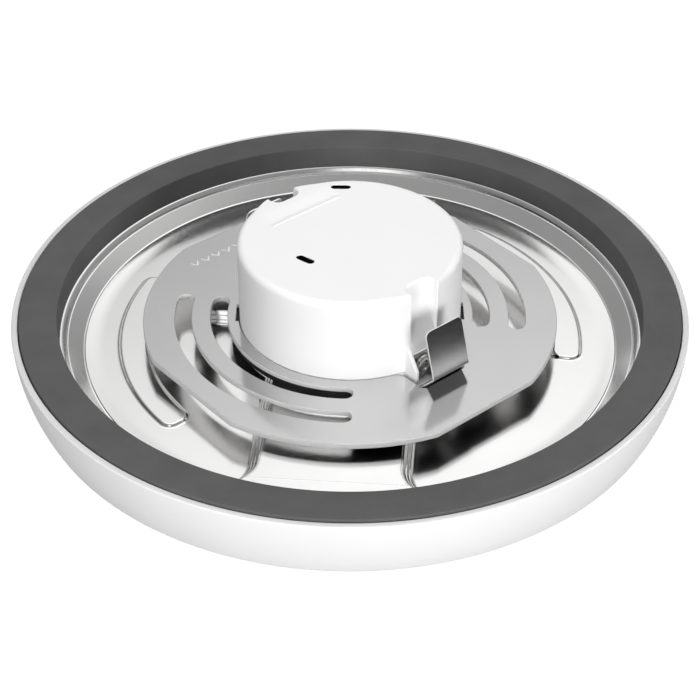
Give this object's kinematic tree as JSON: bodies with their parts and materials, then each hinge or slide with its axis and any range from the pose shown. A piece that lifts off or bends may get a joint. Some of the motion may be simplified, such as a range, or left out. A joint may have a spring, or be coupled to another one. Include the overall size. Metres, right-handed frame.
{
  "type": "surface-mount disk light",
  "caption": "Round slim LED ceiling light shown from its back, with foam gasket, bright pan, slotted mounting plate, driver can and spring clips.",
  "frame": {"origin": "middle of the lens's outer face, at the bottom of the light as it lies face down", "axes": "+Z out of the ceiling side, along the driver can; the spring clips lie on the -45 and 135 degree directions and the pan's pads on +Y and -Y"},
  "size_m": [0.1782, 0.1782, 0.0388],
  "materials": {
    "white_trim": "white powder coat",
    "opal_lens": "opal diffuser",
    "white_reflector": "white reflector film",
    "grey_foam": "closed-cell foam",
    "bright_pan": "bright rolled sheet",
    "zinc_screw": "zinc plated",
    "white_board": "white solder mask",
    "led_phosphor": "phosphor",
    "thermal_silicone": "silicone sheet",
    "ivory_plastic": "moulded",
    "lead_insulation": "PVC insulation",
    "black_rubber": "moulded",
    "black_plastic": "moulded",
    "white_can": "satin moulded",
    "green_board": "green solder mask",
    "ferrite": "sintered ferrite",
    "coil_tape": "polyester tape",
    "capacitor_sleeve": "shrink sleeve",
    "choke_winding": "enamelled wire",
    "varistor_coating": "epoxy dip",
    "resistor_coating": "epoxy coat",
    "satin_steel": "satin zinc",
    "spring_steel": "bright spring steel"
  },
  "bodies": {
    "fixture": {"trim_ring": "white_trim", "diffuser_lens": "opal_lens", "reflector_ring": "white_reflector", "foam_gasket": "grey_foam", "back_pan": "bright_pan", "pan_screws": "zinc_screw", "led_board": "white_board", "led_chips": "led_phosphor", "thermal_pad": "thermal_silicone", "board_screws": "zinc_screw", "board_connector": "ivory_plastic", "output_leads": "lead_insulation", "lead_grommet": "black_rubber", "driver_base": "black_plastic", "driver_can": "white_can", "can_screws": "zinc_screw", "driver_pcb": "green_board", "transformer_core": "ferrite", "transformer_coil": "coil_tape", "bulk_capacitor": "capacitor_sleeve", "output_capacitor": "capacitor_sleeve", "line_choke": "choke_winding", "film_capacitor": "coil_tape", "varistor": "varistor_coating", "fuse_resistor": "resistor_coating", "bridge_rectifier": "black_plastic", "switch_transistor": "black_plastic", "output_diode": "black_plastic", "clip_a_leg": "spring_steel", "clip_b_leg": "spring_steel", "clip_screws": "zinc_screw"},
    "plate": {"mounting_plate": "satin_steel"},
    "clip_a": {"clip_a_blade": "spring_steel"},
    "clip_b": {"clip_b_blade": "spring_steel"}
  },
  "joints": [
    {"name": "plate_lift", "type": "slide", "parent": "fixture", "child": "plate", "axis": [0, 0, 1], "range_m": [0, 0.005]},
    {"name": "clip_a_flex", "type": "hinge", "parent": "fixture", "child": "clip_a", "pos_m": [0.02192, -0.02192, 0.0109], "axis": [-0.7071, -0.7071, 0], "range_deg": [0, 17], "stiffness_Nm_per_rad": 0.3},
    {"name": "clip_b_flex", "type": "hinge", "parent": "fixture", "child": "clip_b", "pos_m": [-0.02192, 0.02192, 0.0109], "axis": [0.7071, 0.7071, 0], "range_deg": [0, 17], "stiffness_Nm_per_rad": 0.3}
  ],
  "couplings": [
    {"joint": "clip_a_flex", "follows": "plate_lift", "rad_per_m": 59.3},
    {"joint": "clip_b_flex", "follows": "plate_lift", "rad_per_m": 59.3}
  ]
}
